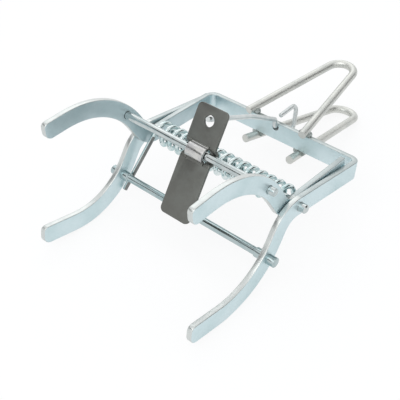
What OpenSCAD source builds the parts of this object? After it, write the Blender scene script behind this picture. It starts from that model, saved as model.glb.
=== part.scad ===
// Claw trap for moles: two pairs of bent flat-bar claws on one axle, closed by a torsion
// spring and held open by a trigger plate and a latch wire. Millimetres, Z up, claws towards
// -Y, handle loops towards +Y. It rests on its two lower claws and the end of the lower loop.
// The side outlines are drawn in the (y, z) plane of the arms, with the axle at the origin.

/* [Frame bar] */
// Width over the two arms
frame_w = 100; // [90:1:120]
// Height of the frame's flat bar
bar_h = 10; // [9:0.5:11]
// Thickness of every flat bar
bar_t = 3; // [2.5:0.5:3]
// From the axle to the outer face of the rear bar
arm_len = 52; // [49:0.1:60]
// Inner radius of the frame's two rear corners
corner_r = 2.5; // [2:0.5:6]

/* [Lower claws] */
// Radius of the first bend, down from the arm
low_bend_r = 14.5; // [12:0.5:17]
// Angle of the first bend
low_bend_a = 64; // [58:1:68]
// Straight between the two bends
low_shank = 6.1; // [4:0.1:9]
// Radius of the long bend that levels the claw again
low_bow_r = 39.6; // [36:0.1:44]
// Angle of the long bend
low_bow_a = 62.2; // [56:0.1:66]
// Straight before the tip
low_toe = 10.5; // [8:0.5:18]

/* [Upper claws] */
// Height of the upper claws' flat bar
claw_h = 9; // [8:0.5:10]
// Sideways gap between an arm and the upper claw inside it
side_gap = 0.6; // [0.4:0.1:1]
// How far the rear strip's middle line passes below the axle
strip_drop = 1.2; // [0:0.1:1.5]
// Slope of the rear strip, up towards the rear
strip_a = 7; // [4:0.5:9]
// Length of the rear strip behind the axle
strip_len = 42; // [34:1:43]
// Radius of the first bend, up from the strip
up_bend_r = 13.3; // [11:0.1:16]
// Angle of the first bend
up_bend_a = 58.5; // [52:0.5:62]
// Straight between the two bends
up_shank = 9.3; // [7:0.1:12]
// Radius of the long bend that levels the claw again
up_bow_r = 46.1; // [42:0.1:50]
// Angle of the long bend
up_bow_a = 57.4; // [52:0.1:61]
// Straight before the last bend
up_toe = 1.5; // [0.5:0.5:10]
// Radius of the slight last bend
up_nip_r = 41.5; // [30:0.5:50]
// Angle of the slight last bend
up_nip_a = 4.5; // [3:0.5:12]

/* [Claw tips] */
// Large radius that rounds the underside of every claw's tip
tip_r = 13; // [11:0.5:15]
// Small radius at the upper corner of every claw's tip
tip_nose_r = 2.5; // [1.5:0.5:3]

/* [Rods] */
// Diameter of the axle
axle_d = 5; // [4:0.1:6]
// Diameter of the axle's free ends outside the arms
axle_end_d = 4.6; // [3.6:0.1:5]
// Diameter of the rod between the lower claws
low_rod_d = 4.5; // [4:0.1:5]
// Diameter of the rod between the upper claws
up_rod_d = 5; // [4:0.1:5.5]
// How far the lower rod lies round the long bend, from its start
low_rod_at = 7.8; // [5:0.1:14]
// How far the upper rod lies round the long bend, from its start
up_rod_at = 8.8; // [5:0.1:14]
// Length of the stubs outside the arms
stub = 4.3; // [2:0.1:6]
// Length of the upper rod's ends outside the upper claws
up_stub = 3.5; // [1:0.1:5]
// Radial play of each rod in its holes
rod_play = 0.05; // [0.02:0.01:0.1]
// Length of each flattened shoulder on the lower rod
ear_len = 4; // [2:0.5:4]
// Width over a flattened shoulder
ear_w = 6.6; // [5.6:0.1:7.5]

/* [Spring] */
// Diameter of the spring's wire
spring_wire = 3; // [2:0.1:3.2]
// Radius of the coil's middle line
spring_r = 4.8; // [4.6:0.1:5.5]
// Whole turns of the coil
spring_turns = 15; // [10:1:15]
// How far the leg runs on past the lower rod
leg_past = 7.5; // [4:0.5:10]
// How far along the strip the hidden leg bears
leg_reach = 24; // [18:1:30]

/* [Trigger plate] */
// Width of the plate
plate_w = 18; // [16:0.5:22]
// Thickness of the plate
plate_t = 1.5; // [1:0.1:2]
// From the upper rod to the plate's top edge
plate_up = 22.6; // [20:0.1:26]
// From the upper rod to the plate's lower edge
plate_down = 33.8; // [28:0.1:36]
// How far the plate's top leans back from upright
plate_lean = 24.6; // [20:0.1:28]
// Radius of the plate's corners
plate_corner = 2.5; // [1:0.5:4]
// Width of the tongue pressed out in front of the rod
tongue_w = 10.3; // [8:0.1:12]
// Where the plate hangs along the rod, from the middle
plate_x = 4.2; // [0:0.1:8]
// From the upper rod to the middle of the latch hole
latch_hole_up = 15.6; // [13:0.1:17]
// Diameter of the latch hole
latch_hole_d = 5.6; // [5:0.1:6.5]

/* [Latch wire] */
// Diameter of the latch wire
latch_d = 2.5; // [2:0.1:2.8]
// Length of the tip in front of the plate
latch_tip = 7; // [4:0.5:9]
// Diameter of the latch wire's hole in the rear bar
bar_hole_d = 5.4; // [5.2:0.1:6]
// Height of that hole above the bar's middle line
bar_hole_z = 1.3; // [0.8:0.1:1.4]
// Inner bends of the eye behind the bar
eye_r = 6; // [4:0.5:6.5]

/* [Handle loops] */
// Diameter of the loops' wire
loop_d = 4.5; // [3.5:0.1:5]
// Radius of the turn at the end of each loop
loop_end_r = 8; // [6:0.5:10]
// Half the spread of the upper loop's legs on the rear bar
up_loop_half = 17.2; // [14:0.1:20]
// From the rear bar to the end of the upper loop
up_loop_len = 62.7; // [50:0.5:75]
// Slope of the upper loop, up towards the rear
up_loop_a = 12; // [8:0.5:16]
// How far off the middle the upper loop is welded
up_loop_side = -1.5; // [-3:0.5:3]
// Half the spread of the lower loop's free ends
low_loop_half = 14; // [12:0.1:18]
// From the rear bar to the end of the lower loop
low_loop_len = 70.5; // [55:0.5:80]
// Slope of the lower loop, down towards the rear
low_loop_a = 3.5; // [1:0.5:6]
// Length of the lower loop's free ends in front of the rear bar
low_loop_lap = 10.5; // [5:0.5:14]
// Length of the upper loop's ends in front of the rear bar's middle
up_loop_lap = 4.5; // [2:0.5:8]
// Radius of each weld bead
weld_r = 1.7; // [1.2:0.1:2.2]

/* [Hidden] */
$fn = 64;
zinc = [0.72, 0.79, 0.83];
bright = [0.80, 0.84, 0.86];
dark = [0.40, 0.41, 0.38];

// Side planes of the bars
arm_in = frame_w / 2 - bar_t;
claw_out = arm_in - side_gap;
claw_in = claw_out - bar_t;
rear_in = arm_len - bar_t;
rear_mid = arm_len - bar_t / 2;
seat = 0.03;

// Unit vectors and turns in the side plane
function dir(a) = [cos(a), sin(a)];
function left(a) = [-sin(a), cos(a)];
// Where a path of legs ends: a straight is [length, 0] and a bend is [radius, angle]
function leg_end(p, h, leg) = leg[1] == 0
    ? [p + leg[0] * dir(h), h]
    : [p + leg[0] * sign(leg[1]) * (left(h) - left(h + leg[1])), h + leg[1]];
function path_end(p, h, legs, n, i = 0) = i >= n
    ? [p, h]
    : let(e = leg_end(p, h, legs[i])) path_end(e[0], e[1], legs, n, i + 1);

// Straights and bends of the two claw outlines
low_legs = [[low_bend_r, low_bend_a], [low_shank, 0], [low_bow_r, -low_bow_a], [low_toe, 0]];
up_legs = [[up_bend_r, -up_bend_a], [up_shank, 0], [up_bow_r, up_bow_a], [up_toe, 0],
           [up_nip_r, up_nip_a], [1, 0]];
low_start = [-0.5, 0];
up_head = 180 + strip_a;
up_start = strip_drop * left(up_head) + 1.2 * dir(strip_a);
low_bow = path_end(low_start, 180, low_legs, 2);
up_bow = path_end(up_start, up_head, up_legs, 2);
low_tip = path_end(low_start, 180, low_legs, 4);
up_tip = path_end(up_start, up_head, up_legs, 6);

// The two cross rods lie on the middle lines of the long bends
low_rod_a = low_rod_at / low_bow_r * 180 / PI;
up_rod_a = up_rod_at / up_bow_r * 180 / PI;
low_rod = leg_end(low_bow[0], low_bow[1], [low_bow_r, -low_rod_a])[0];
up_rod = leg_end(up_bow[0], up_bow[1], [up_bow_r, up_rod_a])[0];

// Trigger plate: its own axes, and the bends that carry the straps round the rod
plate_v = dir(90 - plate_lean);
plate_n = dir(-plate_lean);
strap_r = up_rod_d / 2 + 0.08 + plate_t / 2;
strap_bend = 2;
strap_a = acos(strap_bend / (strap_bend + strap_r));
strap_v = (strap_bend + strap_r) * sin(strap_a);
latch_hole = up_rod + latch_hole_up * plate_v;

// Latch wire: through the hole in the plate, down in front of the rear bar, through the bar
// and round the open eye behind it
latch_lift = (latch_hole_d - latch_d) / 2 - 0.35;
bar_hole = [rear_mid, bar_hole_z];
latch_at = latch_hole + latch_lift * plate_v;
latch_back = norm([bar_hole[0] - latch_at[0], plate_x]);
latch_turn = atan2(plate_x, bar_hole[0] - latch_at[0]);
latch_in = [-latch_back, latch_at[1] - bar_hole_z];
kink = [-4.2, bar_h / 2 + 1.6];
latch_head = atan2(kink[1] - latch_in[1], kink[0] - latch_in[0]);
latch_points = [latch_in - (latch_tip + plate_t) * dir(latch_head), kink, -3.2 * dir(-32), 10.6 * dir(-32),
                10.6 * dir(-32) + (3.03 * eye_r + 0.8) * dir(72),
                10.6 * dir(-32) + (3.03 * eye_r + 0.8) * dir(72) + 16.8 * dir(192)];
latch_bends = [0, 2.5, 3, eye_r, eye_r, 0];

// Straights and bends of a wire whose corners are rounded off
function turn(a) = a - 360 * round(a / 360);
function heading(p, i) = atan2(p[i + 1][1] - p[i][1], p[i + 1][0] - p[i][0]);
function corner(p, i) = turn(heading(p, i) - heading(p, i - 1));
function cut(p, r, i) = i == 0 || i == len(p) - 1 ? 0 : r[i] * tan(abs(corner(p, i)) / 2);
function legs_of(p, r) = [for (i = [0 : len(p) - 2]) each
    [if (i > 0) [r[i], corner(p, i)],
     [norm(p[i + 1] - p[i]) - cut(p, r, i) - cut(p, r, i + 1), 0]]];

// Handle loops: each is two straight legs and one turn, in its own plane, from the rear bar
function loop_lean(half, length) = let(back = length - loop_end_r)
    atan2(half, back) - asin(loop_end_r / norm([half, back]));
function loop_leg(half, length) = let(back = length - loop_end_r)
    sqrt(half * half + back * back - loop_end_r * loop_end_r);
up_loop_z = bar_h / 2 + loop_d / 2 / cos(up_loop_a) + bar_t / 2 * tan(up_loop_a) + seat;
low_loop_z = -bar_h / 2 - loop_d / 2 / cos(low_loop_a) - bar_t / 2 * tan(low_loop_a) - seat;
low_loop_end = [rear_mid, low_loop_z] + low_loop_len * dir(-low_loop_a);

// Resting attitude: level ground touches the long bends of the lower claws and the loop's end
bow_mid = low_bow[0] - low_bow_r * left(low_bow[1]);
bow_out = low_bow_r + bar_h / 2;
rest_gap = low_loop_end - bow_mid;
rest_a = asin((bow_out - loop_d / 2) / norm(rest_gap)) + atan2(rest_gap[1], rest_gap[0]);
function up_at(p) = -p[0] * sin(rest_a) + p[1] * cos(rest_a);
function along(p) = p[0] * cos(rest_a) + p[1] * sin(rest_a);
rest_z = bow_out - up_at(bow_mid);
nose = low_tip[0] + (tip_r - bar_h / 2) * left(low_tip[1]) * -1;
rest_y = (along(low_loop_end) + loop_d / 2 + along(nose) - tip_r + 0.3) / 2;

module rest() {
    translate([0, -rest_y, rest_z])
        rotate([-rest_a, 0, 0])
            children();
}

// Lays a drawing made in the (y, z) plane down at a given x
module side(x) {
    translate([x, 0, 0])
        rotate([90, 0, 90])
            children();
}

// Each straight runs a little way into the bends beside it, and is slimmer by eps there, so
// that the pieces join as one solid
eps = 0.01;
lap = 0.05;

// Places children() one after another along a path: child 0 at each straight, with its length
// in $leg, and child 1 at each bend to the left, with its radius and angle
module along_path(legs, i = 0) {
    if (i < len(legs)) {
        leg = legs[i];
        if (leg[1] == 0) {
            $leg = leg;
            if (leg[0] > 0)
                children(0);
            translate([leg[0], 0, 0])
                along_path(legs, i + 1) {
                    children(0);
                    children(1);
                }
        } else {
            $leg = leg;
            mirror([0, leg[1] < 0 ? 1 : 0, 0])
                translate([0, leg[0], 0])
                    rotate([0, 0, -90])
                        children(1);
            translate([leg[0] * sin(abs(leg[1])), sign(leg[1]) * leg[0] * (1 - cos(leg[1])), 0])
                rotate([0, 0, leg[1]])
                    along_path(legs, i + 1) {
                        children(0);
                        children(1);
                    }
        }
    }
}

module at_point(p, h) {
    translate([p[0], p[1], 0])
        rotate([0, 0, h])
            children();
}

// Outline of a flat bar of height h that follows a path
module bar_path(legs, h) {
    along_path(legs) {
        translate([-lap, eps - h / 2])
            square([$leg[0] + 2 * lap, h - 2 * eps]);
        sector($leg[0], abs($leg[1]), h);
    }
}

// Piece of a flat ring, from the x axis round to the left
module sector(r, a, h) {
    far = 2 * (r + h) / cos(a / 2);
    intersection() {
        difference() {
            circle(r + h / 2);
            circle(r - h / 2);
        }
        polygon([[0, 0], [far, 0], far * dir(a)]);
    }
}

// Round wire of diameter d that follows a path
module wire_path(legs, d) {
    along_path(legs) {
        translate([-lap, 0, 0])
            rotate([0, 90, 0])
                cylinder(d = d - 2 * eps, h = $leg[0] + 2 * lap);
        rotate_extrude(angle = abs($leg[1]))
            translate([$leg[0], 0])
                circle(d = d);
    }
}

// Rounded end of a claw: a large radius below and a small one at the upper corner
module tip(h) {
    low = h / 2 - tip_r;
    nose_y = tip_nose_r - h / 2;
    nose_x = sqrt(pow(tip_r - tip_nose_r, 2) - pow(nose_y - low, 2));
    reach = [nose_x, nose_y - low] * 4;
    intersection() {
        translate([0, low])
            circle(tip_r);
        polygon([[0, -h / 2], [nose_x, -h / 2], [nose_x, nose_y], reach + [0, low], [0, h * 4]]);
    }
    translate([nose_x, nose_y])
        circle(tip_nose_r - 2 * eps);
}

module claw_bar(start, head, legs, end, h, back) {
    linear_extrude(bar_t) {
        at_point(start, head)
            bar_path(legs, h);
        at_point(end[0], end[1])
            tip(h);
        at_point(start, head + 180)
            translate([-lap, eps - h / 2])
                square([back + lap, h - 2 * eps]);
    }
}

module rod_hole(p, d) {
    translate([p[0], p[1], -bar_t])
        cylinder(d = d + 2 * rod_play, h = 3 * bar_t);
}

// Round bar along x with a small chamfer at each end
module rod(p, d, half) {
    cham = d * 0.13;
    translate([-half + cham, p[0], p[1]])
        rotate([0, 90, 0]) {
            cylinder(d = d, h = 2 * (half - cham));
            translate([0, 0, -cham])
                cylinder(d1 = d - 2 * cham, d2 = d, h = cham);
            translate([0, 0, 2 * (half - cham)])
                cylinder(d1 = d, d2 = d - 2 * cham, h = cham);
        }
}

// Frame: one flat bar bent into the two lower claws, the two arms and the rear bar
module frame_plan() {
    r = corner_r + bar_t;
    difference() {
        union() {
            translate([-frame_w / 2, low_start[0]])
                square([frame_w, arm_len - r - low_start[0]]);
            translate([-frame_w / 2 + r, 0])
                square([frame_w - 2 * r, arm_len]);
            for (s = [-1, 1])
                translate([s * (frame_w / 2 - r), arm_len - r])
                    circle(r);
        }
        translate([-arm_in, low_start[0] - 1])
            square([2 * arm_in, rear_in - corner_r - low_start[0] + 1]);
        translate([-arm_in + corner_r, 0])
            square([2 * (arm_in - corner_r), rear_in]);
        for (s = [-1, 1])
            translate([s * (arm_in - corner_r), rear_in - corner_r])
                circle(corner_r);
    }
}

module frame() {
    color(zinc) rest()
        difference() {
            union() {
                translate([0, 0, -bar_h / 2])
                    linear_extrude(bar_h)
                        frame_plan();
                for (x = [-frame_w / 2, arm_in])
                    side(x)
                        claw_bar(low_start, 180, low_legs, low_tip, bar_h, bar_h);
            }
            for (x = [-frame_w / 2, arm_in])
                side(x) {
                    rod_hole([0, 0], axle_d);
                    rod_hole(low_rod, low_rod_d);
                }
            translate([0, rear_in - bar_t, bar_hole_z])
                rotate([-90, 0, 0])
                    cylinder(d = bar_hole_d, h = 3 * bar_t);
        }
}

// Upper claws: flat bars with a rear strip that the spring lifts
module upper_claw(x) {
    rest()
        side(x)
            difference() {
                claw_bar(up_start, up_head, up_legs, up_tip, claw_h, strip_len - 1.2);
                rod_hole([0, 0], axle_d);
                rod_hole(up_rod, up_rod_d);
            }
}

module left_upper_claw() {
    color(zinc) upper_claw(-claw_out);
}

module right_upper_claw() {
    color(zinc) upper_claw(claw_in);
}

module upper_rod() {
    color(bright) rest()
        rod(up_rod, up_rod_d, claw_out + up_stub);
}

// Lower rod: its flattened shoulders keep the arms apart, its stubs are ribbed
module lower_rod() {
    rib = (stub - 0.6) / 4;
    color(bright) rest() {
        rod(low_rod, low_rod_d, frame_w / 2);
        for (s = [-1, 1])
            translate([0, low_rod[0], low_rod[1]])
                rotate([0, s * 90, 0]) {
                    translate([0, 0, arm_in - 0.3 - ear_len])
                        intersection() {
                            cylinder(d = ear_w, h = ear_len);
                            translate([-ear_w, -low_rod_d * 0.36, 0])
                                cube([2 * ear_w, low_rod_d * 0.72, ear_len]);
                        }
                    translate([0, 0, frame_w / 2 - low_rod_d * 0.13])
                        cylinder(d = low_rod_d * 0.82, h = stub + low_rod_d * 0.13);
                    for (i = [0 : 3])
                        translate([0, 0, frame_w / 2 + 0.6 + i * rib])
                            cylinder(d = low_rod_d, h = rib * 0.6);
                }
    }
}

// Axle: its free ends are a little thinner and domed
module axle() {
    end_d = min(axle_end_d, axle_d - 0.2);
    dome = end_d * 0.24;
    ball = (end_d * end_d / 4 + dome * dome) / (2 * dome);
    color(bright) rest()
        for (s = [0, 1])
            mirror([s, 0, 0])
                rotate([0, 90, 0]) {
                    cylinder(d = axle_d, h = frame_w / 2);
                    cylinder(d = end_d, h = frame_w / 2 + stub - dome);
                    translate([0, 0, frame_w / 2 + stub - dome])
                        intersection() {
                            cylinder(d = end_d, h = dome + 1);
                            translate([0, 0, dome - ball])
                                sphere(ball);
                        }
                }
}

// Torsion spring: one unbroken tube of six sides, eight rings to each curl. The left leg
// bears behind the lower rod and the right leg under the right strip.
wire_r = spring_wire / 2;
rod_off = norm(low_rod);
rod_dir = atan2(low_rod[1], low_rod[0]) + 360;
leg_a = rod_dir + asin((spring_r + low_rod_d / 2 + wire_r + 0.1) / rod_off);
leg_len = sqrt(rod_off * rod_off - pow(spring_r + low_rod_d / 2 + wire_r, 2)) + leg_past;
bear = leg_reach * dir(strip_a) - (strip_drop + claw_h / 2 + wire_r + 0.1) * left(strip_a);
bear_a = atan2(bear[1], bear[0]) - asin(spring_r / norm(bear));
bear_len = sqrt(bear * bear - spring_r * spring_r);
coil_l = -(claw_in - wire_r - 2.4);
coil_r = claw_in - wire_r - 0.5;
phi_l = leg_a - 90;
phi_r = bear_a + 90;
sweep = phi_l - phi_r + 360 * spring_turns;
steps = ceil(sweep / 45);
function coil_point(t) = let(a = phi_l - t * sweep)
    [coil_l + t * (coil_r - coil_l), spring_r * cos(a), spring_r * sin(a)];
function coil_side(a) = [0, cos(a), sin(a)];
left_foot = coil_point(0);
right_foot = coil_point(1);
leg_dir = [0, cos(leg_a), sin(leg_a)];
bear_dir = [0, cos(bear_a), sin(bear_a)];
leg_slope = [-1.4 / leg_len, 0, 0];
hook_r = 3;
tube = concat(
    [for (s = [1, 0.5]) [left_foot + s * leg_len * (leg_dir + leg_slope), coil_side(phi_l)]],
    [[left_foot + 3 * (leg_dir + leg_slope), coil_side(phi_l)]],
    [for (i = [0 : steps]) [coil_point(i / steps), coil_side(phi_l - i / steps * sweep)]],
    [for (s = [0.3, 1]) [right_foot + s * (bear_len - hook_r) * bear_dir, coil_side(phi_r)]],
    [for (a = [30, 60, 90]) [right_foot + (bear_len - hook_r + hook_r * sin(a)) * bear_dir
        + [hook_r * (1 - cos(a)), 0, 0], coil_side(phi_r)]],
    [[right_foot + bear_len * bear_dir + [claw_out - 0.2 - coil_r, 0, 0], coil_side(phi_r)]]);
function unit(v) = v / norm(v);
function tangent(i) = unit(tube[min(i + 1, len(tube) - 1)][0] - tube[max(i - 1, 0)][0]);
function ring(i) = let(t = tangent(i), u = unit(tube[i][1] - (tube[i][1] * t) * t), w = cross(t, u))
    [for (k = [0 : 5]) tube[i][0] + wire_r * (cos(60 * k) * u + sin(60 * k) * w)];
spring_gap = min([for (i = [0 : len(tube) - 1], j = [i + 6 : 1 : len(tube) - 1])
    norm(tube[i][0] - tube[j][0])]) - spring_wire;
echo(str("least gap of the spring to itself: ", spring_gap, " mm"));

module torsion_spring() {
    n = len(tube);
    walls = [for (i = [0 : n - 2], k = [0 : 5]) each
        [[6 * i + k, 6 * i + 6 + k, 6 * i + (k + 1) % 6],
         [6 * i + (k + 1) % 6, 6 * i + 6 + k, 6 * i + 6 + (k + 1) % 6]]];
    caps = [for (k = [1 : 4]) each
        [[0, k, k + 1], [6 * n - 6, 6 * n - 6 + k + 1, 6 * n - 6 + k]]];
    color(bright) rest()
        polyhedron(points = [for (i = [0 : n - 1]) each ring(i)], faces = concat(walls, caps));
}

// Trigger plate: slit twice, with its middle tongue pressed in front of the upper rod and the
// two side straps behind it
module plate_flat(v0, v1) {
    w = plate_w;
    r = plate_corner;
    out = abs(v1) > abs(v0) ? v1 : v0;
    mid = abs(v1) > abs(v0) ? v0 : v1;
    s = sign(out);
    translate([-w / 2, min(mid, out - s * r)])
        square([w, abs(out - s * r - mid)]);
    translate([-w / 2 + r, min(mid, out)])
        square([w - 2 * r, abs(out - mid)]);
    for (x = [-w / 2 + r, w / 2 - r])
        translate([x, out - s * r])
            circle(r);
}

module strap(x, w, s) {
    legs = [[lap, 0], [strap_bend, -s * strap_a], [lap, 0], [strap_r, s * 2 * strap_a],
            [lap, 0], [strap_bend, -s * strap_a], [lap, 0]];
    translate([0, 0, x])
        linear_extrude(w)
            at_point([0, strap_v + lap], -90)
                bar_path(legs, plate_t);
}

module trigger_plate() {
    slit = 0.2;
    half = plate_w / 2;
    color(dark) rest()
        side(plate_x)
            translate([up_rod[0], up_rod[1], 0])
                rotate([0, 0, -plate_lean]) {
                    difference() {
                        translate([-plate_t / 2, 0, 0])
                            rotate([90, 0, 90])
                                linear_extrude(plate_t)
                                    rotate(-90) {
                                        plate_flat(strap_v + lap / 2, plate_up);
                                        plate_flat(-strap_v - lap / 2, -plate_down);
                                    }
                        translate([-plate_t, latch_hole_up, 0])
                            rotate([0, 90, 0])
                                cylinder(d = latch_hole_d, h = 2 * plate_t);
                    }
                    strap(-tongue_w / 2, tongue_w, 1);
                    strap(-half + eps, half - tongue_w / 2 - slit - eps, -1);
                    strap(tongue_w / 2 + slit, half - tongue_w / 2 - slit - eps, -1);
                }
}

// Latch wire with a rounded tip, lying slightly askew from the plate's hole to the bar's
module latch_wire() {
    legs = legs_of(latch_points, latch_bends);
    color(bright) rest()
        translate([0, bar_hole[0], bar_hole[1]])
            rotate([0, 0, latch_turn])
                side(0) {
                    at_point(latch_points[0], latch_head)
                        wire_path(legs, latch_d);
                    at_point(latch_points[0], latch_head)
                        translate([-latch_d * 0.3, 0, 0])
                            rotate([0, 90, 0])
                                cylinder(d1 = latch_d * 0.5, d2 = latch_d, h = latch_d * 0.3);
                }
}

// A handle loop in its own plane: free ends, straight legs and the turn at the rear
module loop(half, length, front) {
    lean = loop_lean(half, length);
    leg = loop_leg(half, length);
    start = [half, 0] - front / cos(lean) * dir(90 + lean);
    straight = leg + front / cos(lean);
    at_point(start, 90 + lean)
        wire_path([[straight, 0], [loop_end_r, 180 - 2 * lean], [straight, 0]], loop_d);
}

module upper_loop_at() {
    translate([up_loop_side, rear_mid, up_loop_z])
        rotate([up_loop_a, 0, 0])
            children();
}

module lower_loop_at() {
    translate([0, rear_mid, low_loop_z])
        rotate([-low_loop_a, 0, 0])
            children();
}

module upper_handle_loop() {
    color(zinc) rest()
        upper_loop_at()
            loop(up_loop_half, up_loop_len, up_loop_lap);
}

module lower_handle_loop() {
    color(zinc) rest()
        lower_loop_at()
            loop(low_loop_half, low_loop_len, low_loop_lap);
}

// Weld beads in the corners between each leg and the rear bar
module beads(half, z, side_x) {
    for (s = [-1, 1], t = [-1, 1])
        translate([side_x + s * half + t * loop_d * 0.42, rear_in + 0.4, z])
            rotate([-90, 0, 0])
                cylinder(r = weld_r, h = bar_t - 0.8);
}

module bar_block() {
    translate([-frame_w / 2, rear_in - 5, -bar_h / 2 - seat / 2])
        cube([frame_w, bar_t + 10, bar_h + seat]);
}

module upper_loop_welds() {
    color(zinc) rest()
        difference() {
            beads(up_loop_half, bar_h / 2 + weld_r * 0.5, up_loop_side);
            bar_block();
            upper_loop_at()
                loop(up_loop_half, up_loop_len, up_loop_lap);
        }
}

module lower_loop_welds() {
    color(zinc) rest()
        difference() {
            beads(low_loop_half, -bar_h / 2 - weld_r * 0.5, 0);
            bar_block();
            lower_loop_at()
                loop(low_loop_half, low_loop_len, low_loop_lap);
        }
}

echo(rest_a = rest_a, rest_y = rest_y, rest_z = rest_z);
echo(low_rod = low_rod, up_rod = up_rod, latch_hole = latch_hole, bar_hole = bar_hole);
echo(low_tip = low_tip, up_tip = up_tip, low_loop_end = low_loop_end);

frame();
left_upper_claw();
right_upper_claw();
upper_rod();
lower_rod();
axle();
torsion_spring();
trigger_plate();
latch_wire();
upper_handle_loop();
lower_handle_loop();
upper_loop_welds();
lower_loop_welds();
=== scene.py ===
import math
import bmesh
import bpy
from mathutils import Euler, Matrix, Vector


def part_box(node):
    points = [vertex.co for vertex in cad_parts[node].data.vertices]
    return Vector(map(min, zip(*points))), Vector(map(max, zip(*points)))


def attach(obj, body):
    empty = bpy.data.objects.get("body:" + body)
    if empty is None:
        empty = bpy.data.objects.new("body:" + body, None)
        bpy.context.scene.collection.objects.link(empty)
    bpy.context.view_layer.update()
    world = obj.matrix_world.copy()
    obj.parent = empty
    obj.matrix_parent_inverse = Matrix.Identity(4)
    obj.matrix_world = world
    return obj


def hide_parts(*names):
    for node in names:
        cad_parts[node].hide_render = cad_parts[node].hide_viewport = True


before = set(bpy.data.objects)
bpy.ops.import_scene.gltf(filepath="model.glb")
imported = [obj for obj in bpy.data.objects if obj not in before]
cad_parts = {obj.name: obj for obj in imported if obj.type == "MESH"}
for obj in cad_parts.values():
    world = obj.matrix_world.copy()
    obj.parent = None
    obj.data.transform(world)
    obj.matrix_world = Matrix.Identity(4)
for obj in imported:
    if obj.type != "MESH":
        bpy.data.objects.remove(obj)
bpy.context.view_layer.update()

# Camera. It stands where the photographer stood, high on the trap's front right, a little
# rolled, with a moderately long lens.
eye = bpy.data.objects.new("camera", bpy.data.cameras.new("camera"))
bpy.context.scene.collection.objects.link(eye)
eye.location = (0.21223, -0.26116, 0.28447)
eye.rotation_euler = Euler([math.radians(a) for a in (49.3419, 1.5691, 41.9860)])
eye.data.lens = 73.36
eye.data.sensor_width = 36
eye.data.clip_start = 0.01
eye.data.clip_end = 20
bpy.context.scene.camera = eye
bpy.context.scene.view_settings.view_transform = "Standard"

# Studio. White paper on the floor, a white surround, and large soft lamps. The surround is
# white to the eye and in reflections, and lights the steel at a plain level.
paper_drop = 0.0004
paper_own_white = 0.84
room_light = 0.9
bpy.ops.mesh.primitive_plane_add(size=8, location=(0, 0, -paper_drop))
paper = bpy.context.object
paper.name = "paper"


def seen_ray(nodes, links):
    """1 where the camera, a reflection or clear material looks, and 0 for the light itself."""
    path = nodes.new("ShaderNodeLightPath")
    first = nodes.new("ShaderNodeMath")
    first.operation = "MAXIMUM"
    links.new(path.outputs["Is Camera Ray"], first.inputs[0])
    links.new(path.outputs["Is Glossy Ray"], first.inputs[1])
    both = nodes.new("ShaderNodeMath")
    both.operation = "MAXIMUM"
    links.new(first.outputs[0], both.inputs[0])
    links.new(path.outputs["Is Transmission Ray"], both.inputs[1])
    return both.outputs[0]


paper_white = bpy.data.materials.new("paper_white")
paper_white.use_nodes = True
nodes, links = paper_white.node_tree.nodes, paper_white.node_tree.links
sheet = nodes["Principled BSDF"]
sheet.inputs["Base Color"].default_value = (0.95, 0.95, 0.95, 1)
sheet.inputs["Roughness"].default_value = 1
sheet.inputs["Specular IOR Level"].default_value = 0
glow = nodes.new("ShaderNodeEmission")
glow.inputs["Color"].default_value = (1, 1, 1, 1)
links.new(seen_ray(nodes, links), glow.inputs["Strength"])
lit = nodes.new("ShaderNodeMixShader")
lit.inputs[0].default_value = paper_own_white
links.new(sheet.outputs[0], lit.inputs[1])
links.new(glow.outputs[0], lit.inputs[2])
links.new(lit.outputs[0], nodes["Material Output"].inputs["Surface"])
paper.data.materials.append(paper_white)

world = bpy.data.worlds.new("surround")
bpy.context.scene.world = world
world.use_nodes = True
nodes, links = world.node_tree.nodes, world.node_tree.links
room = nodes["Background"]
room.inputs["Color"].default_value = (0.93, 0.96, 1, 1)
room.inputs["Strength"].default_value = room_light
seen = nodes.new("ShaderNodeBackground")
seen.inputs["Color"].default_value = (1, 1, 1, 1)
seen.inputs["Strength"].default_value = 1
pick = nodes.new("ShaderNodeMixShader")
links.new(seen_ray(nodes, links), pick.inputs[0])
links.new(room.outputs[0], pick.inputs[1])
links.new(seen.outputs[0], pick.inputs[2])
links.new(pick.outputs[0], nodes["World Output"].inputs["Surface"])


def lamp(name, place, size, watts):
    light = bpy.data.lights.new(name, "AREA")
    light.shape = "SQUARE"
    light.size = size
    light.energy = watts
    body = bpy.data.objects.new(name, light)
    bpy.context.scene.collection.objects.link(body)
    body.location = place
    body.rotation_euler = (-Vector(place)).to_track_quat("-Z", "Y").to_euler()


lamp("lamp_left", place=(-0.9, 0.85, 1.0), size=1.1, watts=2.2)
lamp("lamp_front", place=(0.3, -1.1, 1.3), size=1.6, watts=9)


# Dark cards. They stand outside the picture and show only in the steel, as the dark lines along
# its wires and rounded edges.
def card(name, place, wide, tall, tone):
    bpy.ops.mesh.primitive_plane_add(size=1)
    sheet = bpy.context.object
    sheet.name = name
    sheet.scale = (wide, tall, 1)
    sheet.location = place
    sheet.rotation_euler = (-Vector(place)).to_track_quat("-Z", "Y").to_euler()
    black = bpy.data.materials.new(name)
    black.use_nodes = True
    paint = black.node_tree.nodes["Principled BSDF"]
    paint.inputs["Base Color"].default_value = (tone, tone, tone, 1)
    sheet.data.materials.append(black)
    sheet.visible_camera = False
    sheet.visible_shadow = False
    sheet.visible_diffuse = False


card("card_front", place=(-0.45, -0.56, 0.54), wide=0.9, tall=0.26, tone=0.12)
card("card_right", place=(0.75, 0.65, 0.5), wide=1.1, tall=0.6, tone=0.05)
card("card_camera", place=(0.42, -0.62, 0.36), wide=0.5, tall=0.12, tone=0.1)

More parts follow.
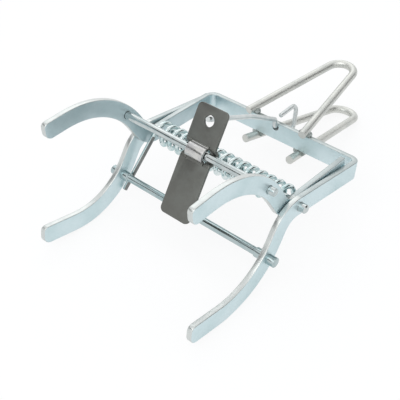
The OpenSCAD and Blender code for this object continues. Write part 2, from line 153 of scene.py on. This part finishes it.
# Frame bar. One length of zinc-plated flat bar, 10 by 3 mm, bent on edge into the two lower
# claws and folded at the two rear corners, then drilled for the axle, the lower rod and the
# latch wire. Sizes are in millimetres from the axle's middle, with the arms level.
bar_thick, bar_tall = 3, 10
arm_middle, rear_middle = 48.5, 50.5
rear_corner = 4
lower_rod_y, lower_rod_z = -20.292, -20.256
latch_hole_x, latch_hole_z = -2.5, 2.5
splay, splay_from = 0.024, -40
side = Vector((1, 0, 0))
upright = Vector((0, 0, 1))
smooth_below = math.radians(40)
slope = math.radians(9.039)
axle_lo, axle_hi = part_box("axle")
pivot = (axle_lo + axle_hi) / 2
level = Matrix.Translation(pivot) @ Matrix.Rotation(-slope, 4, "X") @ Matrix.Scale(0.001, 4)


def flat_bar(name, spot, ahead, up, tall, legs):
    """A bar bent as its legs say: (length,) is a straight, (radius, angle, axis) is a bend."""
    across = ahead.cross(up)
    bpy.ops.mesh.primitive_plane_add(size=1)
    bar = bpy.context.object
    bar.name = name
    for vert in bar.data.vertices:
        vert.co = spot + across * vert.co.x * bar_thick + up * vert.co.y * tall
    bpy.ops.object.mode_set(mode="EDIT")
    bpy.ops.mesh.select_all(action="SELECT")
    for leg in legs:
        if len(leg) == 1:
            bpy.ops.mesh.extrude_region_move(TRANSFORM_OT_translate={"value": ahead * leg[0]})
            spot = spot + ahead * leg[0]
        else:
            radius, angle, axis = leg
            hub = spot + axis.cross(ahead) * math.copysign(radius, angle)
            swing = Matrix.Rotation(math.radians(angle), 3, axis)
            steps = math.ceil(abs(angle) / 3)
            bpy.ops.mesh.spin(steps=steps, angle=-math.radians(angle), center=hub, axis=axis)
            spot = hub + swing @ (spot - hub)
            ahead = swing @ ahead
            up = swing @ up
    return bar, spot, up


def blunt_end(bar, spot, up, tall, lower, upper):
    """Rounds the two corners of a bar's last end."""
    reach = bar_thick / 2 + 0.1
    bpy.ops.mesh.select_mode(type="VERT")
    for way, radius in ((-1, lower), (1, upper)):
        corner = spot + up * way * tall / 2
        mesh = bmesh.from_edit_mesh(bar.data)
        for vert in mesh.verts:
            vert.select = (vert.co - corner).length < reach
        mesh.select_flush_mode()
        bmesh.update_edit_mesh(bar.data)
        bpy.ops.mesh.bevel(offset=radius, segments=8, affect="EDGES")


def finish_bar(bar):
    """Rolls the edges of a bar that is in edit mode, and sets it on the trap."""
    bpy.ops.mesh.select_all(action="SELECT")
    bpy.ops.mesh.normals_make_consistent(inside=False)
    bpy.ops.object.mode_set(mode="OBJECT")
    edge = bar.modifiers.new("edge", "BEVEL")
    edge.width = 0.45
    edge.segments = 3
    edge.limit_method = "ANGLE"
    edge.angle_limit = math.radians(50)
    edge.use_clamp_overlap = False
    bpy.ops.object.modifier_apply(modifier="edge")
    bar.data.transform(level)
    bpy.ops.object.shade_smooth_by_angle(angle=smooth_below)


def socket(group, name, kind, way, value=None):
    """Gives a node group one more input or output."""
    made = group.interface.new_socket(name=name, in_out=way, socket_type=kind)
    if value is not None:
        made.default_value = value


# a patchy bloom of the passivated zinc, from the plain tone to a second one
bloom = bpy.data.node_groups.new("zinc bloom", "ShaderNodeTree")
socket(bloom, "Plain", "NodeSocketColor", "INPUT", (0.6, 0.68, 0.72, 1))
socket(bloom, "Tint", "NodeSocketColor", "INPUT", (0.4, 0.55, 0.58, 1))
socket(bloom, "Amount", "NodeSocketFloat", "INPUT", 0.4)
socket(bloom, "Size", "NodeSocketFloat", "INPUT", 60.0)
socket(bloom, "Color", "NodeSocketColor", "OUTPUT")
socket(bloom, "Mask", "NodeSocketFloat", "OUTPUT")
nodes, links = bloom.nodes, bloom.links
inside = nodes.new("NodeGroupInput")
outside = nodes.new("NodeGroupOutput")
coords = nodes.new("ShaderNodeTexCoord")
cloud = nodes.new("ShaderNodeTexNoise")
cloud.inputs["Detail"].default_value = 5
cloud.inputs["Roughness"].default_value = 0.6
links.new(coords.outputs["Object"], cloud.inputs["Vector"])
links.new(inside.outputs["Size"], cloud.inputs["Scale"])
ramp = nodes.new("ShaderNodeMapRange")
ramp.inputs["From Min"].default_value = 0.42
ramp.inputs["From Max"].default_value = 0.66
links.new(cloud.outputs[0], ramp.inputs["Value"])
share = nodes.new("ShaderNodeMath")
share.operation = "MULTIPLY"
links.new(ramp.outputs[0], share.inputs[0])
links.new(inside.outputs["Amount"], share.inputs[1])
mixed = nodes.new("ShaderNodeMix")
mixed.data_type = "RGBA"
links.new(share.outputs[0], mixed.inputs["Factor"])
links.new(inside.outputs["Plain"], mixed.inputs["A"])
links.new(inside.outputs["Tint"], mixed.inputs["B"])
links.new(mixed.outputs["Result"], outside.inputs["Color"])
links.new(ramp.outputs[0], outside.inputs["Mask"])

# fine drawing lines that run along the bar or wire
grain = bpy.data.node_groups.new("drawn grain", "ShaderNodeTree")
socket(grain, "Stretch", "NodeSocketVector", "INPUT", (3000, 120, 3000))
socket(grain, "Depth", "NodeSocketFloat", "INPUT", 0.2)
socket(grain, "Height", "NodeSocketFloat", "OUTPUT")
nodes, links = grain.nodes, grain.links
inside = nodes.new("NodeGroupInput")
outside = nodes.new("NodeGroupOutput")
coords = nodes.new("ShaderNodeTexCoord")
pull = nodes.new("ShaderNodeVectorMath")
pull.operation = "MULTIPLY"
links.new(coords.outputs["Object"], pull.inputs[0])
links.new(inside.outputs["Stretch"], pull.inputs[1])
lines = nodes.new("ShaderNodeTexNoise")
lines.inputs["Scale"].default_value = 1
lines.inputs["Detail"].default_value = 3
links.new(pull.outputs[0], lines.inputs["Vector"])
deep = nodes.new("ShaderNodeMath")
deep.operation = "MULTIPLY"
links.new(lines.outputs[0], deep.inputs[0])
links.new(inside.outputs["Depth"], deep.inputs[1])
links.new(deep.outputs[0], outside.inputs["Height"])


def plated(name, plain, tint, amount, size, rough, rough_spread, stretch, depth, metal=1.0):
    """Metal with a patchy tone and gloss, and fine lines: stretch is how many a metre each way."""
    made = bpy.data.materials.new(name)
    made.use_nodes = True
    nodes, links = made.node_tree.nodes, made.node_tree.links
    coat = nodes["Principled BSDF"]
    coat.inputs["Metallic"].default_value = metal
    tone = nodes.new("ShaderNodeGroup")
    tone.node_tree = bloom
    tone.inputs["Plain"].default_value = (*plain, 1)
    tone.inputs["Tint"].default_value = (*tint, 1)
    tone.inputs["Amount"].default_value = amount
    tone.inputs["Size"].default_value = size
    links.new(tone.outputs["Color"], coat.inputs["Base Color"])
    dull = nodes.new("ShaderNodeMapRange")
    dull.inputs["To Min"].default_value = rough
    dull.inputs["To Max"].default_value = rough + rough_spread
    links.new(tone.outputs["Mask"], dull.inputs["Value"])
    links.new(dull.outputs[0], coat.inputs["Roughness"])
    drawn = nodes.new("ShaderNodeGroup")
    drawn.node_tree = grain
    drawn.inputs["Stretch"].default_value = stretch
    drawn.inputs["Depth"].default_value = depth
    bump = nodes.new("ShaderNodeBump")
    bump.inputs["Strength"].default_value = 0.35
    bump.inputs["Distance"].default_value = 0.0002
    links.new(drawn.outputs["Height"], bump.inputs["Height"])
    links.new(bump.outputs["Normal"], coat.inputs["Normal"])
    return made


along_bar = (2200, 90, 2200)
zinc_wide = plated("zinc_wide", plain=(0.66, 0.78, 0.81), tint=(0.52, 0.67, 0.69), amount=0.5,
                   size=45, rough=0.42, rough_spread=0.1, stretch=along_bar, depth=0.25)
zinc_narrow = plated("zinc_narrow", plain=(0.64, 0.67, 0.66), tint=(0.54, 0.58, 0.58), amount=0.5,
                     size=120, rough=0.3, rough_spread=0.1, stretch=along_bar, depth=0.05)
# a darker copy of the edge plating, painted shade for the edges behind the axle
zinc_rear_painted_shade = plated("zinc_rear_painted_shade", plain=(0.50, 0.55, 0.55), tint=(0.40, 0.46, 0.47), amount=0.6,
                   size=120, rough=0.32, rough_spread=0.12, stretch=along_bar, depth=0.15)


def plate_bar(part, wide):
    """One finish for the wide faces, one for the edges, and a darker copy of the edge finish as
    painted shade on the edges behind the axle.
    """
    lift = level.to_3x3() @ upright * 1000
    rear_from = pivot.y + 0.012
    for finish in (wide, zinc_narrow, zinc_rear_painted_shade):
        part.data.materials.append(finish)
    for face in part.data.polygons:
        lies_up = abs(face.normal.dot(lift)) > 0.6
        behind = face.center.y > rear_from
        if abs(face.normal.x) > 0.8 or (behind and not lies_up):
            face.material_index = 0
        elif behind:
            face.material_index = 2
        else:
            face.material_index = 1


def drill(part, place, wide, axis):
    """A round hole through a bar. A drill turned about X goes from front to rear, and one
    turned about Y from side to side."""
    bpy.ops.mesh.primitive_cylinder_add(vertices=48, radius=wide / 2, depth=8)
    cutter = bpy.context.object
    turned = Matrix.Rotation(math.radians(90), 4, axis)
    cutter.data.transform(level @ Matrix.Translation(place) @ turned)
    hole = part.modifiers.new("hole", "BOOLEAN")
    hole.object = cutter
    bpy.context.view_layer.objects.active = part
    bpy.ops.object.modifier_apply(modifier="hole")
    bpy.data.objects.remove(cutter)
    part.select_set(True)
    bpy.ops.object.shade_smooth_by_angle(angle=smooth_below)


half_rear, arm, down_bend = (arm_middle - rear_corner,), (47,), (14.5, 64, side)
drop, claw_bend, tip = (6.1,), (39.6, -65.4, side), (20.3,)
bar, spot, up = flat_bar("bent_bar", Vector((0, rear_middle, 0)), side, upright, bar_tall, [
    half_rear, (rear_corner, -90, upright), arm, down_bend, drop, claw_bend, tip])
blunt_end(bar, spot, up, bar_tall, lower=4.4, upper=2.6)

# the face in the trap's middle goes, and the half bar is mirrored there
bpy.ops.mesh.select_all(action="DESELECT")
bpy.ops.mesh.select_mode(type="FACE")
mesh = bmesh.from_edit_mesh(bar.data)
for face in mesh.faces:
    face.select = all(abs(vert.co.x) < 0.01 for vert in face.verts)
bmesh.update_edit_mesh(bar.data)
bpy.ops.mesh.delete(type="FACE")
bpy.ops.object.mode_set(mode="OBJECT")
both = bar.modifiers.new("both", "MIRROR")
both.merge_threshold = 0.01
bpy.ops.object.modifier_apply(modifier="both")
for vert in bar.data.vertices:
    vert.co.x += math.copysign(splay * max(0, splay_from - vert.co.y), vert.co.x)
bpy.ops.object.mode_set(mode="EDIT")
finish_bar(bar)
drill(bar, (latch_hole_x, rear_middle, latch_hole_z), wide=4.2, axis="X")
for x in (-arm_middle, arm_middle):
    drill(bar, (x, 0, 0), wide=5.1, axis="Y")
    drill(bar, (x, lower_rod_y, lower_rod_z), wide=5.3, axis="Y")
plate_bar(bar, zinc_wide)
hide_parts("frame")
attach(bar, "frame_body")

# Upper claws. Two shorter flat bars, 9 by 3 mm, inside the arms. Each has a rear strip that
# slopes up from the axle, and is drilled for the axle and the upper rod. The left one gets a
# darker copy of the plating, as painted shade.
claw_tall, claw_middle = 9, 44.9
upper_rod_y, upper_rod_z = -22.582, 17.479
strip_rise, strip_long, strip_drop = 7, 42, 1.2
# a darker copy of the wide-face plating, painted shade for the left claw
zinc_painted_shade = plated("zinc_painted_shade", plain=(0.53, 0.64, 0.67), tint=(0.40, 0.53, 0.56), amount=0.6,
                    size=45, rough=0.42, rough_spread=0.1, stretch=along_bar, depth=0.25)


def heading(angle):
    """Direction in the plane of a claw: 0 is to the rear, 90 is up and 180 is to the front."""
    return Vector((0, math.cos(math.radians(angle)), math.sin(math.radians(angle))))


forward, upward = -heading(strip_rise), heading(strip_rise + 90)
strip_end = strip_drop * -upward + strip_long * heading(strip_rise)
strip, up_bend, rise = (40.8,), (13.3, -58.5, side), (9.3,)
crown, straight, curl, tip = (46.1, 57.4, side), (1.5,), (41.5, 4.5, side), (12.1,)
for node, x in (("left_upper_claw", -claw_middle), ("right_upper_claw", claw_middle)):
    name = node.replace("upper_claw", "claw_bar")
    claw, spot, up = flat_bar(name, side * x + strip_end, forward, upward, claw_tall, [
        strip, up_bend, rise, crown, straight, curl, tip])
    blunt_end(claw, spot, up, claw_tall, lower=3.8, upper=2.4)
    finish_bar(claw)
    drill(claw, (x, upper_rod_y, upper_rod_z), wide=4.4, axis="Y")
    drill(claw, (x, 0, 0), wide=5.3, axis="Y")
    plate_bar(claw, zinc_painted_shade if x < 0 else zinc_wide)
    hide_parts(node)
    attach(claw, "jaws")

# Rods and axle. Bright drawn wire, cut to length and pushed through the drilled bars. The
# lower rod is left thicker at its two ends.
rod_wide = 4
end_wide, end_long = 5.2, 0.0117
along_rod = (90, 2600, 2600)
bright_wire = plated("bright_wire", plain=(0.56, 0.60, 0.60), tint=(0.36, 0.45, 0.46), amount=0.6,
                     size=160, rough=0.14, rough_spread=0.1, stretch=along_rod, depth=0.3)
deep_wire = plated("deep_wire", plain=(0.44, 0.52, 0.53), tint=(0.30, 0.42, 0.44), amount=0.6,
                   size=160, rough=0.16, rough_spread=0.1, stretch=along_rod, depth=0.3)
for node, body, finish in (("upper_rod", "jaws", bright_wire),
                           ("lower_rod", "frame_body", deep_wire)):
    rod_lo, rod_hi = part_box(node)
    mid = (rod_lo + rod_hi) / 2
    end = Vector((rod_lo.x, mid.y, mid.z))
    bpy.ops.mesh.primitive_circle_add(vertices=48, radius=rod_wide / 2000, fill_type="NGON")
    rod = bpy.context.object
    rod.name = node + "_wire"
    rod.data.transform(Matrix.Translation(end) @ Matrix.Rotation(math.radians(90), 4, "Y"))
    long = rod_hi.x - rod_lo.x
    grow, shrink = end_wide / rod_wide, rod_wide / end_wide
    if node == "upper_rod":
        steps = [(long, 1)]
    else:
        steps = [(0, grow), (end_long, shrink), (long - 2 * end_long, grow), (end_long, 1)]
    bpy.ops.object.mode_set(mode="EDIT")
    bpy.ops.mesh.select_all(action="SELECT")
    for step, scale in steps:
        end = end + Vector((step, 0, 0))
        if step:
            bpy.ops.mesh.extrude_region_move(TRANSFORM_OT_translate={"value": (step, 0, 0)})
            if scale != 1:
                bpy.ops.mesh.extrude_region_move(TRANSFORM_OT_translate={"value": (0, 0, 0)})
        bpy.ops.transform.resize(value=(1, scale, scale), center_override=end)
    bpy.ops.mesh.select_all(action="SELECT")
    bpy.ops.mesh.normals_make_consistent(inside=False)
    bpy.ops.object.mode_set(mode="OBJECT")
    ends = rod.modifiers.new("ends", "BEVEL")
    ends.width = 0.0004
    ends.segments = 3
    ends.angle_limit = math.radians(50)
    bpy.ops.object.modifier_apply(modifier="ends")
    bpy.ops.object.shade_smooth_by_angle(angle=smooth_below)
    rod.data.materials.append(finish)
    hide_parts(node)
    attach(rod, body)
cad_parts["axle"].data.materials.clear()
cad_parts["axle"].data.materials.append(bright_wire)

# Torsion spring. Bright hard wire wound round the axle in fifteen open curls, a little above
# its middle. The left leg bears on the lower rod, and the right one runs down from the last
# curl, back to the right upper claw's strip and out under it.
wire_r, coil_r, coil_lift = 1.3, 5.4, 1
curls, curl_steps = 15, 36
gap, left_gap, right_gap = 0.1, 2.4, 0.5


def from_coil(x, y, z):
    """A place given from the coil's middle with the arms level, in millimetres."""
    return level @ Vector((x, y, z + coil_lift))


def tube(name, points, thick):
    """A closed length of round wire along the points."""
    line = bpy.data.curves.new(name, "CURVE")
    line.dimensions = "3D"
    line.bevel_depth = thick / 2000
    line.bevel_resolution = 4
    line.use_fill_caps = True
    run = line.splines.new("POLY")
    run.points.add(len(points) - 1)
    for spot, point in zip(run.points, points):
        spot.co = (*point, 1)
    piece = bpy.data.objects.new(name, line)
    bpy.context.scene.collection.objects.link(piece)
    bpy.ops.object.select_all(action="DESELECT")
    piece.select_set(True)
    bpy.context.view_layer.objects.active = piece
    bpy.ops.object.convert(target="MESH")
    bpy.ops.object.mode_set(mode="EDIT")
    bpy.ops.mesh.select_all(action="SELECT")
    bpy.ops.mesh.remove_doubles(threshold=0.000001)
    bpy.ops.mesh.normals_make_consistent(inside=False)
    bpy.ops.object.mode_set(mode="OBJECT")
    bpy.ops.object.shade_smooth_by_angle(angle=smooth_below)
    return bpy.context.object


def rounded(corners, radii):
    """Places along straights whose corners are bent to the given radii."""
    places = [corners[0]]
    for before, corner, after, radius in zip(corners, corners[1:], corners[2:], radii):
        back = (before - corner).normalized()
        on = (after - corner).normalized()
        half = back.angle(on) / 2
        hub = corner + (back + on).normalized() * radius / math.sin(half)
        start = (corner + back * radius / math.tan(half) - hub).normalized()
        stop = (corner + on * radius / math.tan(half) - hub).normalized()
        steps = max(2, math.ceil(math.degrees(math.pi - 2 * half) / 6))
        for i in range(steps + 1):
            places.append(hub + start.slerp(stop, i / steps) * radius)
    return places + [corners[-1]]


# the left leg runs down close behind the lower rod and leans out towards the arm
claw_inner = claw_middle - bar_thick / 2
left_x = -(claw_inner - wire_r - left_gap)
right_x = claw_inner - wire_r - right_gap
leg_lean, leg_past, leg_steps = 5.7, 7.5, 12
rod_z = lower_rod_z - coil_lift
rod_far = math.hypot(lower_rod_y, rod_z)
beside_rod = coil_r + rod_wide / 2 + wire_r
leg_turn = math.atan2(rod_z, lower_rod_y) + 2 * math.pi + math.asin((beside_rod + gap) / rod_far)
leg_long = math.sqrt(rod_far ** 2 - beside_rod ** 2) + leg_past
first, last = leg_turn - math.pi / 2, math.radians(20)
route = []
for i in range(leg_steps):
    out = 1 - i / leg_steps
    y = coil_r * math.cos(first) + out * leg_long * math.cos(leg_turn)
    z = coil_r * math.sin(first) + out * leg_long * math.sin(leg_turn)
    route.append(from_coil(left_x - leg_lean * out, y, z))

# fifteen whole turns and part of one more, from the left leg to the right one
sweep = first - last + curls * 2 * math.pi
coil_steps = curl_steps * (curls + 1)
for i in range(coil_steps + 1):
    angle = first - sweep * i / coil_steps
    x = left_x + (right_x - left_x) * i / coil_steps
    route.append(from_coil(x, coil_r * math.cos(angle), coil_r * math.sin(angle)))

# the right leg runs down to a knee and back along the strip, and its end is hooked under that
bear_at, hook_long, leg_bend = 24, 4.6, 3
strip_turn = math.radians(strip_rise)
under = strip_drop + claw_tall / 2 + wire_r + gap
leave = Vector((right_x, coil_r * math.cos(last), coil_r * math.sin(last)))
hook = Vector((right_x,
               bear_at * math.cos(strip_turn) + under * math.sin(strip_turn),
               bear_at * math.sin(strip_turn) - under * math.cos(strip_turn) - coil_lift))
down = Vector((0, math.sin(last), -math.cos(last)))
over = Vector((0, -math.sin(strip_turn), math.cos(strip_turn)))
knee = leave + down * (hook - leave).dot(over) / down.dot(over)
for place in rounded([leave, knee, hook, hook + side * hook_long], (leg_bend, leg_bend)):
    route.append(from_coil(*place))

# the left leg gets painted shade and a painted dark reflection, except along its front left side
leg_side = 0.002
spring_wire = plated("spring_wire", plain=(0.70, 0.77, 0.77), tint=(0.30, 0.50, 0.52), amount=0.7,
                     size=260, rough=0.12, rough_spread=0.1, stretch=(900, 900, 900), depth=0.1)
leg_painted_shade = plated("leg_painted_shade", plain=(0.22, 0.23, 0.225), tint=(0.14, 0.15, 0.15), amount=0.7,
                  size=160, rough=0.2, rough_spread=0.1, stretch=(900, 900, 900), depth=0.1)
spring = tube("spring", route, thick=2 * wire_r)
spring.data.materials.append(spring_wire)
spring.data.materials.append(leg_painted_shade)
for face in spring.data.polygons:
    off = face.center - from_coil(left_x, 0, 0)
    on_leg = math.hypot(off.y, off.z) > (coil_r + wire_r) / 1000 and off.x < leg_side
    # leg faces turned away from the front left take the painted shade
    if on_leg and face.normal.x + face.normal.y > -0.5:
        face.material_index = 1
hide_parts("torsion_spring")
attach(spring, "frame_body")

# Trigger plate. Dark sheet steel, slit twice; the tongue is pressed out in front of the upper
# rod and the two straps go behind it. Its edges are broken, and the tongue is bare metal.
plate_middle = 4.2
plate_lean = math.radians(24.6) + slope
tongue_half, tongue_out = 5.3, 1.1
flap = bpy.data.objects.new("trigger_sheet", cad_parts["trigger_plate"].data.copy())
bpy.context.scene.collection.objects.link(flap)
flap.data.materials.clear()
bpy.ops.object.select_all(action="DESELECT")
flap.select_set(True)
bpy.context.view_layer.objects.active = flap
bpy.ops.mesh.customdata_custom_splitnormals_clear()
bpy.ops.object.mode_set(mode="EDIT")
bpy.ops.mesh.select_all(action="SELECT")
bpy.ops.mesh.remove_doubles(threshold=0.00003)
bpy.ops.mesh.dissolve_degenerate(threshold=0.00002)
bpy.ops.mesh.dissolve_limited(angle_limit=math.radians(1))
bpy.ops.object.mode_set(mode="OBJECT")
edge = flap.modifiers.new("edge", "BEVEL")
edge.width = 0.00018
edge.segments = 3
edge.limit_method = "ANGLE"
edge.angle_limit = math.radians(40)
edge.use_clamp_overlap = False
edge.miter_outer = "MITER_ARC"
bpy.ops.object.modifier_apply(modifier="edge")
bpy.ops.object.shade_smooth_by_angle(angle=math.radians(35))
plate_steel = plated("plate_steel", plain=(0.15, 0.152, 0.14), tint=(0.19, 0.2, 0.185), amount=0.8,
                     size=90, rough=0.38, rough_spread=0.14, stretch=(600, 600, 600), depth=0.4,
                     metal=0.85)
bare_tongue = plated("bare_tongue", plain=(0.62, 0.62, 0.60), tint=(0.42, 0.42, 0.44), amount=0.7,
                     size=200, rough=0.2, rough_spread=0.15, stretch=(90, 1800, 1800), depth=0.4)
flap.data.materials.append(plate_steel)
flap.data.materials.append(bare_tongue)
plate_across = Vector((0, math.cos(plate_lean), -math.sin(plate_lean)))
rod_lo, rod_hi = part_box("upper_rod")
rod_mid = (rod_lo + rod_hi) / 2
for face in flap.data.polygons:
    out = -(face.center - rod_mid).dot(plate_across)
    if out > tongue_out / 1000 and abs(face.center.x - plate_middle / 1000) < tongue_half / 1000:
        face.material_index = 1
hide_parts("trigger_plate")
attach(flap, "trigger")

# Latch wire. Drawn wire, 2.5 mm thick, from the hole in the plate to the one in the rear bar,
# where it is bent round into an open eye. Each bend is given by how far behind the rear bar's
# hole it is, and by its height.
plate_hole_y, plate_hole_z = -15.7, 32.6
past_plate, above_hole = 2.4, 0.8
latch_thick = 2.5
aside = plate_middle - latch_hole_x
ahead = rear_middle - plate_hole_y
turn = math.atan2(aside, ahead)
wire_tip = (-math.hypot(aside, ahead) - past_plate, plate_hole_z + above_hole)
long_bend, drop_top, drop_foot, behind_bar = (-28.6, 19.4), (-3.3, 7.8), (-3.15, 3.7), (3.3, 1.3)
eye_foot, eye_back, eye_end = (19.5, -11), (19.4, 9.1), (2.2, 8.1)
bend_radii = (40, 2, 2, 3, 3.5, 5.4)
corners = []
for behind, height in (wire_tip, long_bend, drop_top, drop_foot, behind_bar,
                       eye_foot, eye_back, eye_end):
    corners.append(Vector((latch_hole_x - behind * math.sin(turn),
                           rear_middle + behind * math.cos(turn), height)))
wire_line = [level @ place for place in rounded(corners, bend_radii)]
latch_zinc = plated("latch_zinc", plain=(0.68, 0.71, 0.71), tint=(0.52, 0.58, 0.59), amount=0.5,
                    size=160, rough=0.3, rough_spread=0.12, stretch=(900, 900, 900), depth=0.15)
latch = tube("latch", wire_line, thick=latch_thick)
latch.data.materials.append(latch_zinc)
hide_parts("latch_wire")
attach(latch, "latch")

# Handle loops. Thicker wire, bent to a long narrow eye each and welded to the rear bar, one on
# its upper edge and one on its lower.
loop_wire = plated("loop_wire", plain=(0.64, 0.65, 0.62), tint=(0.52, 0.55, 0.54), amount=0.5,
                   size=90, rough=0.4, rough_spread=0.1, stretch=(700, 700, 700), depth=0.08)
weld_metal = plated("weld_metal", plain=(0.46, 0.50, 0.49), tint=(0.3, 0.35, 0.34), amount=0.8,
                    size=300, rough=0.45, rough_spread=0.15, stretch=(700, 700, 700), depth=0.4)
for node, finish in (("lower_handle_loop", loop_wire), ("upper_handle_loop", loop_wire),
                     ("upper_loop_welds", weld_metal), ("lower_loop_welds", weld_metal)):
    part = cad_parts[node]
    part.data.materials.clear()
    part.data.materials.append(finish)
